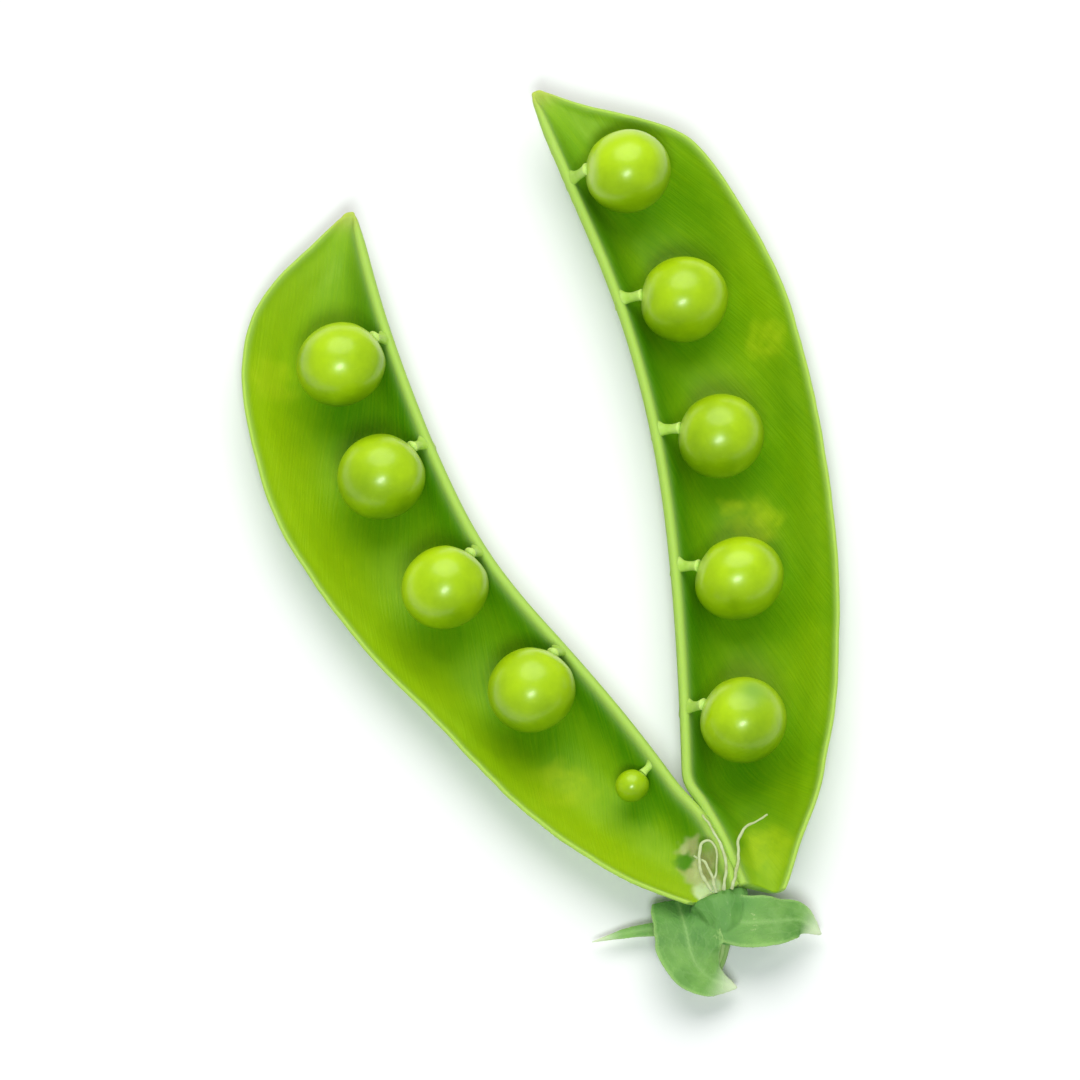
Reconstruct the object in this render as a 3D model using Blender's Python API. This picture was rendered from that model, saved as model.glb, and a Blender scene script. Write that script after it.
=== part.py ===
"""Garden pea pod, picked and split open along both seams, lying on its two valves.

The valves lie in a V, hollow side up, and meet only near the stalk end. Each carries its peas on short
stalks (funicles) along the seam cord on its inner side. The long axis is +Y, tips forward, and the right
valve is towards +X. Points are worked out in millimetres and written to the meshes in metres.
"""

import math

import bmesh
import bpy
import numpy as np
from mathutils import Vector

METRES = 0.001

# Driving dimensions, millimetres and degrees
GAP = 0.3              # clearance between pieces that touch in nature
RIM_HEIGHT = 5.6       # middle of the rims above the table
PRESS = 0.15           # how far each belly is flattened where it lies on the table
WALL = 1.0             # pod wall
CORD = 0.4             # what the seam cord adds to the wall at the pea-bearing edge
CORD_REACH = 1.1       # distance over which the cord fades into the wall
PEA = 4.45             # radius of a full pea
SMALL_PEA = 1.7        # radius of the pea that stayed small
SEAT = 0.2             # depth of the seat that each full pea presses into the wall
SEAT_REACH = 3.4       # distance over which a seat fades out
FUNICLE = 0.42         # radius of a funicle at its waist
FUNICLE_LEAD = 0.45    # how far past its pea a funicle leaves the seam, in pea radii
FUNICLE_RISE = 0.35    # how far above the pea's middle it points, in pea radii
FUNICLE_CLEAR = 0.52   # where its middle ends short of the pea, so that its slanting end clears by GAP
SEPAL = 0.75           # thickness of a sepal
TIP_WIDTH = 0.8        # width of the wall's middle at the very tip
TIP_ROUND = 0.4        # how far the rounded end stands past the last ring
SLENDER = ((0, 0.55), (TIP_WIDTH, 0.6), (4, 0.95), (6, 1), (99, 1))  # share of the wall by the valve's width

# Headings are (share of the seam's length, degrees away from +Y to the valve's own side) and each outline is
# (share of the seam's length, width across the hollow). The first pea lies this far up the seam, each step
# from pea to pea is shorter than the one before it by "closing", and "line" is the share of the width where
# the peas lie.
VALVES = {
    "right": {
        "side": 1,
        "seam": 86.7,          # length of the pea-bearing edge
        "headings": ((0, 20.6), (0.4, 15.3), (0.62, 7.0), (0.85, -1.6), (1, -1.0)),
        "droop": 0.03,         # how fast the rim falls from the seam to the back edge
        "outline": ((0, 3.5), (0.04, 6.8), (0.09, 10.2), (0.135, 12.8), (0.18, 13.7), (0.28, 14.6),
                    (0.41, 15.3), (0.67, 15.4), (0.81, 13.9), (0.885, 12.4), (0.935, 7.7), (0.965, 3.9),
                    (1, TIP_WIDTH)),
        "peas": {"radii": (PEA, PEA, PEA, PEA, PEA), "first": 17.7, "pitch": 15.0, "closing": 0.4,
                 "line": 0.385},
    },
    "left": {
        "side": -1,
        "seam": 81.0,
        "headings": ((0, 8.0), (0.26, 16.8), (0.4, 19.8), (0.62, 3.7), (0.85, -3.3), (1, -9.0)),
        "droop": 0.05,
        "outline": ((0, 4.0), (0.04, 7.4), (0.09, 10.2), (0.18, 12.1), (0.28, 13.2), (0.41, 13.6),
                    (0.55, 14.9), (0.67, 16.0), (0.81, 14.8), (0.885, 12.6), (0.935, 8.9), (0.965, 4.7),
                    (1, TIP_WIDTH)),
        "peas": {"radii": (SMALL_PEA, PEA, PEA, PEA, PEA), "first": 14.5, "pitch": 13.7, "closing": 0.6,
                 "line": 0.345},
    },
}
SEAM_START = 1.5       # where the seams meet the calyx, towards +X
JOINED = ((0, 0), (5, 4), (11, 22))    # and their common heading from there, towards -X, by length
FORK_START = 10.0      # they run side by side up to here
FORK_LENGTH = 3.5      # and have turned to their own headings this much further on
BACK_EASE = 26.0       # the back edge takes this long to turn as far
DEEPEST = 0.42         # share of the width where the hollow is deepest, from the seam
SEAM_SIDE = 3.0        # power of the hollow's curve on the seam's side, the steeper one
BACK_SIDE = 2.3        # and on the back edge's side
HOLLOW_EARLY = 0.3     # how much sooner the hollow gets deep than the valve gets wide
PEA_CLEAR = 1.7        # a pea's middle keeps this far from the middle of the seam's wall
PEA_CLOSE = 0.8        # plus this share of its radius
PEA_SQUASH = 0.96      # the least that a pea's axis may be shortened to, by the draw
PEA_WAVES = ((2, 0.012), (3, 0.008))  # waves round its girth and along its axis, and how deep each is
FUNICLE_GIRTH = ((0, 1.5), (0.35, 1.05), (0.65, 1.0), (1, 1.2))

# Centreline and greatest width of each sepal, from inside the cup to the tip
SEPALS = {
    "front": (((-2.7, -1.4, 3.9), (-4.6, -3.5, 4.5), (-5.1, -5.7, 4.1), (-4.2, -7.6, 3.0),
               (-1.9, -8.9, 1.8)), 5.4),
    "right": (((-1.0, -2.0, 4.2), (0.8, -3.4, 4.6), (3.7, -4.4, 4.4), (6.2, -4.9, 3.4),
               (7.7, -6.4, 2.2)), 5.0),
    "left": (((-1.6, -1.6, 3.2), (-5.4, -0.5, 2.2), (-9.4, 0.6, 1.8), (-13.5, 1.1, 1.6)), 2.8),
    "under_right": (((0.4, -1.2, 3.6), (2.0, -2.4, 2.2), (2.8, -3.6, 1.3), (3.2, -4.8, 0.9)), 3.6),
    "under_left": (((-1.6, -1.1, 3.3), (-3.8, -1.45, 1.95), (-5.4, -1.9, 1.2), (-6.9, -2.6, 0.9)), 3.0),
}
SEPAL_OUTLINE = ((0, 0.6), (0.35, 1), (0.7, 0.72), (0.9, 0.3), (1, 0.1))
SEPAL_FOLD = 0.18      # how far a sepal's edges are lifted from its midrib, per half width
SEPAL_CREASE = 1.4     # power of that lift's curve, 1 for a sharp crease

# Centrelines of the cup and the stalk, and half their widths and heights at shares of their lengths
CUP = ((-0.5, 0.0, 4.6), (-0.6, -1.2, 4.5), (-1.2, -2.6, 3.9), (-2.0, -3.7, 3.1))
CUP_WIDE = ((0, 3.4), (0.3, 3.0), (0.7, 1.9), (1, 1.25))
CUP_TALL = ((0, 1.7), (0.3, 1.8), (0.7, 1.5), (1, 1.2))
PEDICEL = ((-2.25, -4.1, 2.84), (-2.8, -4.95, 2.1), (-3.8, -5.9, 1.4), (-5.0, -6.8, 1.0))
PEDICEL_GIRTH = ((0, 1.15), (0.3, 0.95), (1, 0.85))

ROWS = 44              # rings along a valve
COLUMNS = 11           # steps across a valve
CROWDING = 0.55        # how much closer the rings stand towards the ends, 0 for evenly
SMOOTH_ANGLE = 50      # edges bent by more than this stay sharp
SEED = 7


def smooth(points, at):
    """Monotone cubic through (station, value) points, read at the stations in at."""
    x, y = np.array(points, float).T
    run = np.diff(x)
    slope = np.diff(y) / run
    tangent = np.zeros_like(y)
    for i in range(1, len(y) - 1):
        if slope[i - 1] * slope[i] > 0:
            tangent[i] = 2 / (1 / slope[i - 1] + 1 / slope[i])
    tangent[0], tangent[-1] = slope[0], slope[-1]
    at = np.asarray(at, float)
    i = np.clip(np.searchsorted(x, at) - 1, 0, len(run) - 1)
    u = (at - x[i]) / run[i]
    return (y[i] * (1 + 2 * u) * (1 - u) ** 2 + tangent[i] * run[i] * u * (1 - u) ** 2
            + y[i + 1] * u ** 2 * (3 - 2 * u) - tangent[i + 1] * run[i] * u ** 2 * (1 - u))


def crowded(steps):
    """Shares from 0 to 1 that stand closer together towards both ends."""
    even = np.linspace(0, 1, steps + 1)
    return (1 - CROWDING) * even + CROWDING * (1 - np.cos(math.pi * even)) / 2


def unit(vectors):
    return vectors / np.maximum(np.linalg.norm(vectors, axis=-1, keepdims=True), 1e-9)


class Valve:
    """The middle surface of one valve, and where its peas lie."""

    FINE = 400

    def __init__(self, side, seam, headings, droop, outline, peas):
        self.side, self.seam, self.droop, self.peas = side, seam, droop, peas
        self.arc = np.linspace(0, seam, self.FINE + 1)
        own = np.radians(smooth(headings, self.arc / seam))
        joined = -side * np.radians(smooth(JOINED, np.minimum(self.arc, JOINED[-1][0])))
        self.heading = joined + (own - joined) * self.turned(FORK_START, FORK_LENGTH)
        square = own * self.turned(0, BACK_EASE)
        step = seam / self.FINE
        middle = (self.heading[1:] + self.heading[:-1]) / 2
        start = side * SEAM_START + GAP / 2 + (WALL + CORD) / 2
        out = start + np.r_[0, np.cumsum(np.sin(middle)) * step]
        self.edge = np.c_[side * out, GAP + np.r_[0, np.cumsum(np.cos(middle)) * step]]
        across = np.c_[side * np.cos(square), -np.sin(square)]
        self.width = smooth(outline, self.arc / seam)
        self.back = self.edge + across * self.width[:, None]
        self.widest = self.width.max()
        self.depth = RIM_HEIGHT + PRESS - WALL / 2 - droop * DEEPEST * self.widest

    def turned(self, start, length):
        """Eased share of a turn that begins at start and is done after length."""
        share = np.clip((self.arc - start) / length, 0, 1)
        return share ** 2 * (3 - 2 * share)

    def hollow(self, width):
        """Share of the full depth where the valve is this wide: none at the tip, which is flat."""
        share = ((width - TIP_WIDTH) / (self.widest - TIP_WIDTH)).clip(0, 1)
        return share * (1 + HOLLOW_EARLY * (1 - share))

    def at_arc(self, arc, offset):
        """Plan position at a length along the seam and an offset square to it."""
        x, y, heading = (np.interp(arc, self.arc, line) for line in (*self.edge.T, self.heading))
        return np.array([x + self.side * math.cos(heading) * offset, y - math.sin(heading) * offset])

    def pea_places(self):
        """Length along the seam, offset from it and radius of each pea, from the stalk end on."""
        rule = self.peas
        for i, radius in enumerate(rule["radii"]):
            arc = rule["first"] + i * rule["pitch"] - rule["closing"] * i * (i - 1) / 2
            line = rule["line"] * float(np.interp(arc, self.arc, self.width)) * radius / PEA
            yield arc, max(line, PEA_CLOSE * radius + PEA_CLEAR), radius

    def middle(self, rows, columns):
        """Grid of points on the middle of the wall, from the seam to the back edge in each row."""
        share = crowded(rows)
        run = np.r_[0, np.cumsum(np.linalg.norm(np.diff(self.back, axis=0), axis=1))]
        start = np.array([np.interp(share, self.arc / self.seam, line) for line in self.edge.T]).T
        end = np.array([np.interp(share, run / run[-1], line) for line in self.back.T]).T
        v = crowded(columns)
        plan = start[:, None] + (end - start)[:, None] * v[None, :, None]
        width = np.linalg.norm(end - start, axis=1)[:, None]
        near = np.clip((DEEPEST - v) / DEEPEST, 0, 1)
        far = np.clip((v - DEEPEST) / (1 - DEEPEST), 0, 1)
        drop = self.depth * self.hollow(width) * (1 - near ** SEAM_SIDE - far ** BACK_SIDE)
        for arc, offset, radius in self.pea_places():
            away = np.linalg.norm(plan - self.at_arc(arc, offset), axis=2)
            drop = drop + SEAT * (radius / PEA) ** 2 * np.exp(-(away / SEAT_REACH) ** 2)
        height = RIM_HEIGHT - drop - self.droop * width * v
        return np.dstack([plan, height])

    def half_wall(self, grid):
        """Half the wall's thickness at each point of the grid."""
        from_seam = np.linalg.norm(grid - grid[:, :1], axis=2)
        width = np.linalg.norm(grid[:, -1:] - grid[:, :1], axis=2)
        return smooth(SLENDER, width) * (WALL + CORD * np.exp(-(from_seam / CORD_REACH) ** 2)) / 2


def facing(grid, side):
    """Unit normals of a grid of points, upwards for side 1 where the rows run towards +X."""
    along = np.gradient(grid, axis=0)
    across = np.gradient(grid, axis=1)
    return side * unit(np.cross(across, along))


def thicken(grid, half, side):
    """Closed rings of points round a sheet: its upper face, one rim, its lower face, the other rim."""
    normal = facing(grid, side)
    along = unit(np.gradient(grid, axis=0))

    def rim(edge, inner, order):
        outward = grid[:, edge] - grid[:, inner]
        tangent = along[:, edge]
        outward = unit(outward - tangent * (outward * tangent).sum(1, keepdims=True))
        radius = half[:, edge][:, None]
        for angle in order:
            a = math.radians(angle)
            yield grid[:, edge] + radius * (math.cos(a) * outward + math.sin(a) * normal[:, edge])

    upper = grid + normal * half[..., None]
    lower = grid - normal * half[..., None]
    rings = [upper[:, j] for j in range(grid.shape[1])]
    rings += rim(-1, -2, (45, 0, -45))
    rings += [lower[:, j] for j in reversed(range(grid.shape[1]))]
    rings += rim(0, 1, (-45, 0, 45))
    return np.stack(rings, axis=1)


def loft_faces(rings, round_points):
    """Quads between neighbouring rings, and one flat face over each end."""
    faces = []
    for i in range(rings - 1):
        for j in range(round_points):
            k = (j + 1) % round_points
            faces.append([i * round_points + j, i * round_points + k,
                          (i + 1) * round_points + k, (i + 1) * round_points + j])
    faces.append(list(range(round_points)))
    faces.append([(rings - 1) * round_points + j for j in reversed(range(round_points))])
    return faces


def rounded_end(rings, length):
    """Adds one smaller ring square ahead of the last one, so that the end isn't cut off flat."""
    last = rings[-1]
    centre = last.mean(axis=0)
    ahead = unit(np.cross(last - centre, np.roll(last, -1, axis=0) - centre).sum(axis=0))
    ahead = ahead * np.sign(ahead @ (centre - rings[-3].mean(axis=0)))
    return np.concatenate([rings, (centre + (rings[-1] - centre) * 0.5 + ahead * length)[None]])


def spline(points, count):
    """Catmull-Rom curve through points, read at count even steps."""
    points = np.array(points, float)
    padded = np.vstack([2 * points[0] - points[1], points, 2 * points[-1] - points[-2]])
    out = []
    for at in np.linspace(0, len(points) - 1, count):
        i = min(int(at), len(points) - 2)
        u = at - i
        a, b, c, d = padded[i:i + 4]
        out.append(0.5 * (2 * b + (c - a) * u + (2 * a - 5 * b + 4 * c - d) * u ** 2
                          + (3 * b - a - 3 * c + d) * u ** 3))
    return np.array(out)


def tube(path, wide, tall, sides):
    """Rings round a path, with half a width and half a height at each of its points."""
    tangent = unit(np.gradient(path, axis=0))
    level = unit(np.cross(tangent, (0.0, 0.0, 1.0)))
    lifted = np.cross(level, tangent)
    turn = np.linspace(0, 2 * math.pi, sides, endpoint=False)
    return (path[:, None] + wide[:, None, None] * np.cos(turn)[None, :, None] * level[:, None]
            + tall[:, None, None] * np.sin(turn)[None, :, None] * lifted[:, None])


def material(name, colour, roughness):
    made = bpy.data.materials.new(name)
    made.use_nodes = True
    shader = made.node_tree.nodes["Principled BSDF"]
    shader.inputs["Base Color"].default_value = (*colour, 1)
    shader.inputs["Roughness"].default_value = roughness
    shader.inputs["Metallic"].default_value = 0
    made.diffuse_color = (*colour, 1)
    return made


def solid(name, points, faces, finish):
    """One closed object from points in millimetres."""
    mesh = bpy.data.meshes.new(name)
    mesh.from_pydata([Vector(p) * METRES for p in points], [], faces)
    form = bmesh.new()
    form.from_mesh(mesh)
    bmesh.ops.recalc_face_normals(form, faces=form.faces)
    form.to_mesh(mesh)
    form.free()
    mesh.shade_smooth()
    mesh.set_sharp_from_angle(angle=math.radians(SMOOTH_ANGLE))
    mesh.materials.append(finish)
    made = bpy.data.objects.new(name, mesh)
    bpy.context.scene.collection.objects.link(made)
    return made


def lofted(name, rings, finish):
    count, round_points = rings.shape[:2]
    return solid(name, rings.reshape(-1, 3), loft_faces(count, round_points), finish)


def fuse(body, grown):
    """Joins what grows on a body to it, as one closed mesh."""
    group = bpy.data.collections.new(body.name + "_grown")
    for piece in grown:
        bpy.context.scene.collection.objects.unlink(piece)
        group.objects.link(piece)
    bpy.context.scene.collection.children.link(group)
    join = body.modifiers.new("grown", "BOOLEAN")
    join.operation = "UNION"
    join.operand_type = "COLLECTION"
    join.collection = group
    join.solver = "EXACT"
    bpy.context.view_layer.update()
    evaluated = body.evaluated_get(bpy.context.evaluated_depsgraph_get())
    mesh = bpy.data.meshes.new_from_object(evaluated)
    body.modifiers.clear()
    body.data = mesh
    for piece in grown:
        bpy.data.objects.remove(piece)
    bpy.data.collections.remove(group)
    mesh.shade_smooth()
    mesh.set_sharp_from_angle(angle=math.radians(SMOOTH_ANGLE))


def finer(grid, steps):
    """The same grid of points with this many even steps between neighbours, both ways."""
    for _ in range(2):
        at = np.linspace(0, len(grid) - 1, steps * (len(grid) - 1) + 1)
        low = np.minimum(at.astype(int), len(grid) - 2)
        share = (at - low)[:, None, None]
        grid = (grid[low] * (1 - share) + grid[low + 1] * share).swapaxes(0, 1)
    return grid


def rest_height(valve, x, y, radius):
    """Height of a ball's middle where it lies in the hollow, GAP clear of the wall's faces."""
    grid = valve.middle(ROWS, COLUMNS)
    wall = grid + facing(grid, valve.side) * valve.half_wall(grid)[..., None]
    wall = finer(wall, 6).reshape(-1, 3)
    reach = radius + GAP
    away = np.hypot(wall[:, 0] - x, wall[:, 1] - y)
    near = away < reach
    return float(np.max(wall[near, 2] + np.sqrt(reach ** 2 - away[near] ** 2)))


def make_pea(name, place, radius, draw, finish):
    """A pea: a ball, a little flattened and uneven, never larger than its radius."""
    form = bmesh.new()
    bmesh.ops.create_uvsphere(form, u_segments=18, v_segments=11, radius=1)
    squash = draw.uniform(PEA_SQUASH, 1.0, 3)
    phase = draw.uniform(0, 2 * math.pi, 2)
    (girth_waves, girth_depth), (axis_waves, axis_depth) = PEA_WAVES
    points = []
    for vertex in form.verts:
        x, y, z = vertex.co
        turn = math.atan2(y, x)
        dent = girth_depth * (1 + math.sin(girth_waves * turn + phase[0]))
        dent += axis_depth * (1 + math.sin(axis_waves * z + phase[1]))
        points.append(np.array([x, y, z]) * squash * radius * (1 - dent) + place)
    faces = [[v.index for v in face.verts] for face in form.faces]
    form.free()
    return solid(name, points, faces, finish)


def make_funicle(name, valve, arc, pea, radius, finish, rings=6, sides=8):
    """The pea's stalk: wide where it leaves the seam, narrow at its waist, wider again at the pea."""
    root = np.array([*valve.at_arc(arc + FUNICLE_LEAD * radius, 0), RIM_HEIGHT])
    towards = unit(np.array([*root[:2], pea[2] + FUNICLE_RISE * radius]) - pea)
    end = pea + towards * (radius + FUNICLE_CLEAR)
    path = spline((root, (root + end) / 2, end), rings)
    girth = smooth(FUNICLE_GIRTH, np.linspace(0, 1, rings)) * FUNICLE
    return lofted(name, tube(path, girth, girth, sides), finish)


def make_valve(name, valve, finish):
    """One valve of the pod with its funicles, and the places of its peas."""
    grid = valve.middle(ROWS, COLUMNS)
    rings = thicken(grid, valve.half_wall(grid), valve.side)
    rings[0, :, 1] = GAP
    rings = rounded_end(rings, TIP_ROUND)
    rings[..., 2] = np.maximum(rings[..., 2], 0)
    body = lofted(name, rings, finish)
    places = []
    grown = []
    for i, (arc, offset, radius) in enumerate(valve.pea_places()):
        plan = valve.at_arc(arc, offset)
        pea = np.array([*plan, rest_height(valve, *plan, radius)])
        places.append((pea, radius))
        grown.append(make_funicle(f"{name}_funicle_{i}", valve, arc, pea, radius, finish))
    fuse(body, grown)
    return body, places


def make_sepal(name, centreline, widest, finish, rows=10, columns=4):
    """A pointed leafy blade along a centreline, folded a little along its midrib."""
    path = spline(centreline, rows + 1)
    half = smooth(SEPAL_OUTLINE, np.linspace(0, 1, rows + 1)) * widest / 2
    level = unit(np.cross(unit(np.gradient(path, axis=0)), (0.0, 0.0, 1.0)))
    v = np.linspace(-1, 1, columns + 1)
    grid = path[:, None] + level[:, None] * (half[:, None] * v)[..., None]
    grid[..., 2] += SEPAL_FOLD * half[:, None] * (np.abs(v) ** SEPAL_CREASE)[None]
    thickness = np.full(grid.shape[:2], SEPAL / 2)
    return lofted(name, thicken(grid, thickness, -1), finish)


def make_calyx(finish, rings=7, sides=16):
    """The cup that the pod grew from, with its five sepals."""
    along = np.linspace(0, 1, rings)
    rounds = tube(spline(CUP, rings), smooth(CUP_WIDE, along), smooth(CUP_TALL, along), sides)
    cup = lofted("calyx", rounds, finish)
    grown = [make_sepal("sepal_" + name, line, width, finish) for name, (line, width) in SEPALS.items()]
    fuse(cup, grown)
    return cup


def make_pedicel(finish, rings=8, sides=12):
    """The short stalk, bent down to the table and broken off square."""
    girth = smooth(PEDICEL_GIRTH, np.linspace(0, 1, rings))
    return lofted("pedicel", tube(spline(PEDICEL, rings), girth, girth, sides), finish)


def main():
    for old in list(bpy.data.objects):
        bpy.data.objects.remove(old)
    wall = material("pod_wall", (0.26, 0.43, 0.03), 0.45)
    ripe = material("pea", (0.42, 0.62, 0.05), 0.35)
    leafy = material("sepal", (0.20, 0.37, 0.10), 0.6)
    stalk = material("stalk", (0.24, 0.42, 0.12), 0.6)

    draw = np.random.default_rng(SEED)
    made = []
    for side, values in VALVES.items():
        body, places = make_valve("valve_" + side, Valve(**values), wall)
        made.append(body)
        for i, (place, radius) in enumerate(places):
            label = "small" if radius == SMALL_PEA else i + (side == "right")
            made.append(make_pea(f"pea_{side}_{label}", place, radius, draw, ripe))
    made.append(make_calyx(leafy))
    made.append(make_pedicel(stalk))

    # The pod's own frame has its origin under the middle of the whole outline
    corners = np.array([made_one.matrix_world @ v.co for made_one in made for v in made_one.data.vertices])
    low, high = corners.min(axis=0), corners.max(axis=0)
    pod = bpy.data.objects.new("pea_pod", None)
    bpy.context.scene.collection.objects.link(pod)
    pod.location = (-(low[0] + high[0]) / 2, -(low[1] + high[1]) / 2, 0)
    for piece in made:
        piece.parent = pod
    bpy.context.view_layer.update()


main()
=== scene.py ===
import math

import bmesh
import bpy
import numpy as np
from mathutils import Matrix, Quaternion, Vector, noise
from mathutils.kdtree import KDTree


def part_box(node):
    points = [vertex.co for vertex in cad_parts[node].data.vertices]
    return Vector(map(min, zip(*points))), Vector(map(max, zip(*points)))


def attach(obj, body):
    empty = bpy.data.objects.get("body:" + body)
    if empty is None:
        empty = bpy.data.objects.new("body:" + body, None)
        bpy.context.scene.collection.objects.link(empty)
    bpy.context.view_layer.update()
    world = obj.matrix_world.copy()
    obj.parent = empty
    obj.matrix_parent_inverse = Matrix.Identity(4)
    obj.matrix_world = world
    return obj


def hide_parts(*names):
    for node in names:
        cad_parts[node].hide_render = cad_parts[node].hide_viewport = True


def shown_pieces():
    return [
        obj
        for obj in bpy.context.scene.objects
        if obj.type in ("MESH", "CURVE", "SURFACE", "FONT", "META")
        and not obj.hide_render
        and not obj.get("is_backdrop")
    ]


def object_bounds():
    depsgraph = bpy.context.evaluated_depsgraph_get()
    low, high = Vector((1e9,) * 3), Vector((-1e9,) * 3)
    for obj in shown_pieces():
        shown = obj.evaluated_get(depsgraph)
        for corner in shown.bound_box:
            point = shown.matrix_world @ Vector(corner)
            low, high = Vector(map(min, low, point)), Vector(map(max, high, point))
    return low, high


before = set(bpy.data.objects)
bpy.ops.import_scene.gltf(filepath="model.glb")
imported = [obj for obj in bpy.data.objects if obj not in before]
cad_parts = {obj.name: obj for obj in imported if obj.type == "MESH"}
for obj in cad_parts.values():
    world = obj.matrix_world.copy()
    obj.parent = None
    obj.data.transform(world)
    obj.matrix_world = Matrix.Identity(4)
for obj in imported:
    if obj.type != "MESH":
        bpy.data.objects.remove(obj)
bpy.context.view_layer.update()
mm = 0.001
body = "root"
print("frame loaded:", len(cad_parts), "nodes")


# Small helpers for numbers, meshes and nodes

def asMm(corner):
    return np.array(corner, float) / mm


def toUnit(vectors):
    return vectors / np.maximum(np.linalg.norm(vectors, axis=-1, keepdims=True), 1e-9)


def smoothThrough(points, at):
    # monotone cubic through (station, value) points
    x, y = np.array(points, float).T
    run = np.diff(x)
    slope = np.diff(y) / run
    tangent = np.zeros_like(y)
    for i in range(1, len(y) - 1):
        if slope[i - 1] * slope[i] > 0:
            tangent[i] = 2 / (1 / slope[i - 1] + 1 / slope[i])
    tangent[0], tangent[-1] = slope[0], slope[-1]
    at = np.asarray(at, float)
    i = np.clip(np.searchsorted(x, at) - 1, 0, len(run) - 1)
    u = (at - x[i]) / run[i]
    return (y[i] * (1 + 2 * u) * (1 - u) ** 2 + tangent[i] * run[i] * u * (1 - u) ** 2
            + y[i + 1] * u ** 2 * (3 - 2 * u) - tangent[i + 1] * run[i] * u ** 2 * (1 - u))


def curveThrough(points, count):
    # Catmull-Rom curve, read at even steps
    points = np.array(points, float)
    padded = np.vstack([2 * points[0] - points[1], points, 2 * points[-1] - points[-2]])
    out = []
    for at in np.linspace(0, len(points) - 1, count):
        i = min(int(at), len(points) - 2)
        u = at - i
        a, b, c, d = padded[i:i + 4]
        out.append(0.5 * (2 * b + (c - a) * u + (2 * a - 5 * b + 4 * c - d) * u ** 2
                          + (3 * b - a - 3 * c + d) * u ** 3))
    return np.array(out)


def wander(places, size, seed):
    # soft noise from -1 to 1 at an array of places in mm, with features of about that size
    flat = np.asarray(places, float).reshape(-1, 3) / size + seed * 17.3
    read = [noise.noise(Vector(p)) for p in flat]
    return np.array(read).reshape(np.asarray(places).shape[:-1])


def runAlong(path):
    return np.r_[0, np.cumsum(np.linalg.norm(np.diff(path, axis=0), axis=1))]


def closerAtEnds(count, share):
    # steps from 0 to 1; the larger the share, the closer they lie at both ends
    even = np.linspace(0, 1, count + 1)
    return (1 - share) * even + share * (1 - np.cos(math.pi * even)) / 2


def normalsOf(grid, side=1):
    return toUnit(np.cross(np.gradient(grid, axis=1), np.gradient(grid, axis=0)) * side)


def bell(distance, reach):
    return np.exp(-(distance / reach) ** 2)


def ease(share):
    share = np.clip(share, 0, 1)
    return share ** 2 * (3 - 2 * share)


def loftFaces(rings, around):
    faces = []
    for i in range(rings - 1):
        for j in range(around):
            k = (j + 1) % around
            faces.append((i * around + j, i * around + k, (i + 1) * around + k, (i + 1) * around + j))
    faces.append(tuple(range(around)))
    faces.append(tuple((rings - 1) * around + j for j in reversed(range(around))))
    return faces


def giveMask(mesh, name, values):
    isVector = values.ndim > 1 and values.shape[-1] == 3
    layer = mesh.attributes.new(name, "FLOAT_VECTOR" if isVector else "FLOAT", "POINT")
    layer.data.foreach_set("vector" if isVector else "value", values.astype(np.float32).reshape(-1))


def newObject(name, data):
    made = bpy.data.objects.new(name, data)
    bpy.context.scene.collection.objects.link(made)
    return made


def makePiece(name, points, faces, finish, masks, nodes=()):
    # one mesh from points in mm, with its masks, riding on the pod
    mesh = bpy.data.meshes.new(name)
    mesh.from_pydata((np.asarray(points).reshape(-1, 3) * mm).tolist(), [], faces)
    for maskName, values in masks.items():
        giveMask(mesh, maskName, values)
    form = bmesh.new()
    form.from_mesh(mesh)
    bmesh.ops.recalc_face_normals(form, faces=form.faces)
    form.to_mesh(mesh)
    form.free()
    mesh.shade_smooth()
    mesh.materials.append(finish)
    piece = newObject(name, mesh)
    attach(piece, body)
    if nodes:
        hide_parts(*nodes)
    return piece


def makeLoft(name, rings, finish, masks, nodes=()):
    # a piece from closed rings; each mask has a value for every point, or one for a whole ring
    count, around = rings.shape[:2]
    flat = {maskName: np.repeat(mask, around) if mask.ndim == 1 else mask.reshape(-1, *mask.shape[2:])
            for maskName, mask in masks.items()}
    return makePiece(name, rings + joinPoint, loftFaces(count, around), finish, flat, nodes)


def addNode(tree, kind, inputs=None, **settings):
    made = tree.nodes.new("ShaderNode" + kind)
    for name, value in settings.items():
        setattr(made, name, value)
    for name, value in (inputs or {}).items():
        if isinstance(value, bpy.types.NodeSocket):
            tree.links.new(value, made.inputs[name])
        else:
            made.inputs[name].default_value = value
    return made


def maths(tree, operation, first, second=0.5):
    return addNode(tree, "Math", {0: first, 1: second}, operation=operation).outputs[0]


def addUp(tree, first, firstShare, second, secondShare):
    # two masks added up, each by its share
    return maths(tree, "ADD", maths(tree, "MULTIPLY", first, firstShare),
                 maths(tree, "MULTIPLY", second, secondShare))


def stretched(tree, x, length, y, width, z):
    # the place at which a texture drawn out along the piece is read
    sides = {"X": maths(tree, "DIVIDE", x, length), "Y": maths(tree, "DIVIDE", y, width), "Z": z}
    return addNode(tree, "CombineXYZ", sides).outputs[0]


def mixColour(tree, factor, first, second):
    return addNode(tree, "Mix", {0: factor, 6: first, 7: second}, data_type="RGBA").outputs[2]


def mixValue(tree, factor, first, second):
    return addNode(tree, "Mix", {0: factor, 2: first, 3: second}).outputs[0]


def layered(tree, under, look, *layers):
    # colours laid over each other in turn: each has a mask or its name, a strength, and the colour's name
    for mask, strength, name in layers:
        mask = readMask(tree, mask) if isinstance(mask, str) else mask
        under = mixColour(tree, maths(tree, "MULTIPLY", mask, strength), under, look[name])
    return under


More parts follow.
